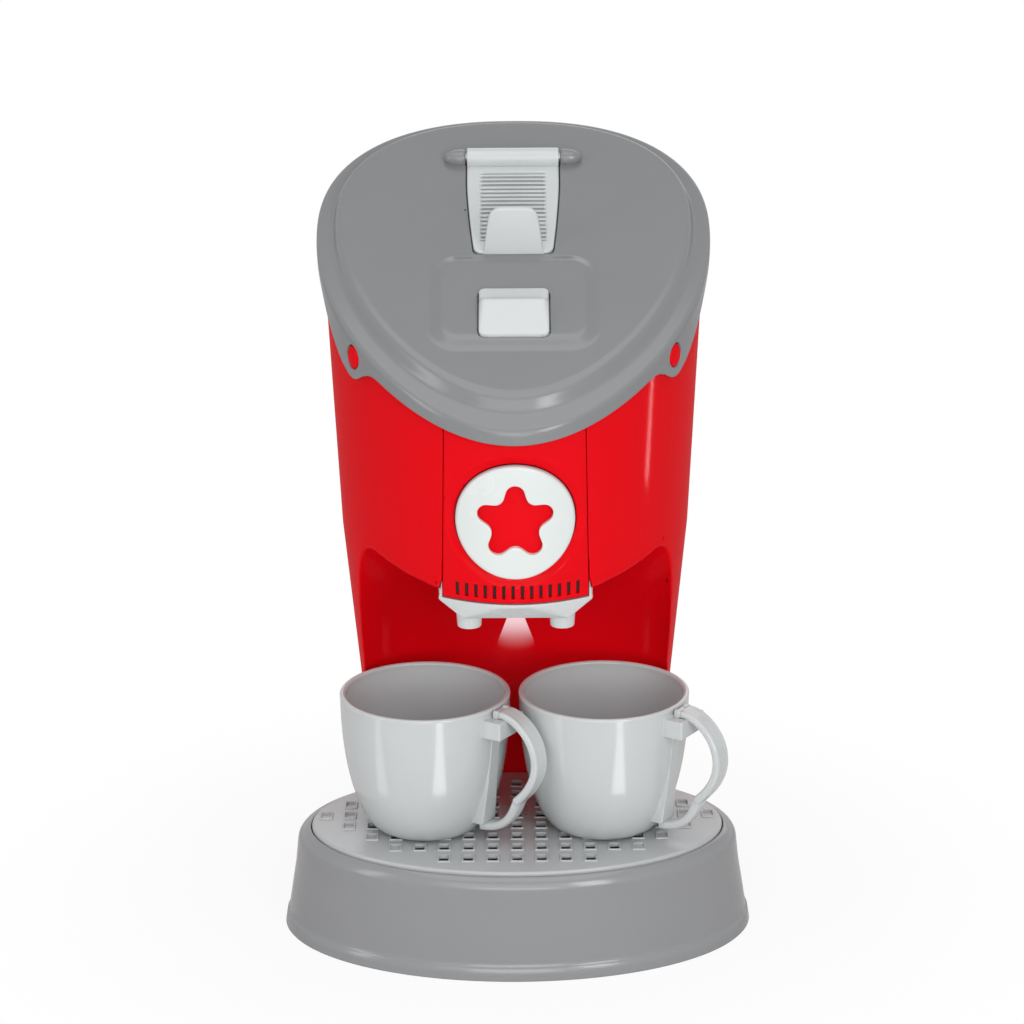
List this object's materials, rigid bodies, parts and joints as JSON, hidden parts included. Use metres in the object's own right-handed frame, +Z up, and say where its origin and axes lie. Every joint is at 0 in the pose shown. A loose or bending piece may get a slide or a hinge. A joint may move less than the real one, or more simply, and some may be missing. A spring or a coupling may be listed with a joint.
{
  "type": "toy coffee maker",
  "caption": "Toy pod coffee machine with a leaning top cover, pod hatch, star button, nozzle spout, lift-out drip tray and small cups with clip-on handles.",
  "frame": {"origin": "on the ground under the middle of the machine's footprint", "axes": "+Z up; -Y to the front, where the star button and the spout are; +X to the right seen from the front"},
  "size_m": [0.17, 0.155, 0.2781],
  "materials": {
    "grey_plastic": "gloss",
    "light_plastic": "gloss",
    "red_plastic": "gloss",
    "steel": "plain",
    "board_green": "matte",
    "cell_black": "gloss",
    "lens_clear": "clear",
    "black_plastic": "matte",
    "lead_cover": "matte"
  },
  "bodies": {
    "machine": {"base_shell": "grey_plastic", "bottom_plate": "grey_plastic", "battery_door": "grey_plastic", "battery_door_screw": "steel", "base_screws": "steel", "battery_cells": "cell_black", "battery_contacts": "steel", "body_front": "red_plastic", "body_back": "red_plastic", "body_screws": "steel", "front_panel": "red_plastic", "star_button_spring": "steel", "main_board": "board_green", "board_switch": "black_plastic", "spout": "light_plastic", "led_lens": "lens_clear", "led_light": "lens_clear", "led_board": "board_green", "top_cover": "grey_plastic", "hatch_pin": "steel", "pod_holder": "grey_plastic", "power_button_spring": "steel", "power_switch_board": "board_green", "battery_leads": "lead_cover", "signal_leads": "lead_cover"},
    "tray": {"drip_tray": "light_plastic"},
    "star_push": {"star_button": "light_plastic", "star_insert": "red_plastic"},
    "power_push": {"power_button": "light_plastic"},
    "hatch": {"pod_hatch": "light_plastic"},
    "left_mug": {"left_cup": "light_plastic", "left_cup_handle": "light_plastic"},
    "right_mug": {"right_cup": "light_plastic", "right_cup_handle": "light_plastic"}
  },
  "joints": [
    {"name": "hatch_hinge", "type": "hinge", "parent": "machine", "child": "hatch", "pos_m": [0, 0.0463, 0.26916], "axis": [-1, 0, 0], "range_deg": [0, 100]},
    {"name": "star_button_press", "type": "slide", "parent": "machine", "child": "star_push", "axis": [0, 1, 0], "range_m": [0, 0.0025], "stiffness_N_per_m": 300, "springref_m": -0.002, "deforming": ["star_button_spring"]},
    {"name": "power_button_press", "type": "slide", "parent": "machine", "child": "power_push", "axis": [0, 0.5158, -0.8567], "range_m": [0, 0.0025], "stiffness_N_per_m": 300, "springref_m": -0.002, "deforming": ["power_button_spring"]},
    {"name": "tray_lift", "type": "slide", "parent": "machine", "child": "tray", "axis": [0, 0, 1], "range_m": [0, 0.02]},
    {"name": "left_cup_lift", "type": "slide", "parent": "tray", "child": "left_mug", "axis": [-0.7605, -0.5704, 0.3102], "range_m": [0, 0.12]},
    {"name": "right_cup_lift", "type": "slide", "parent": "tray", "child": "right_mug", "axis": [0.7605, -0.5704, 0.3102], "range_m": [0, 0.12]}
  ]
}
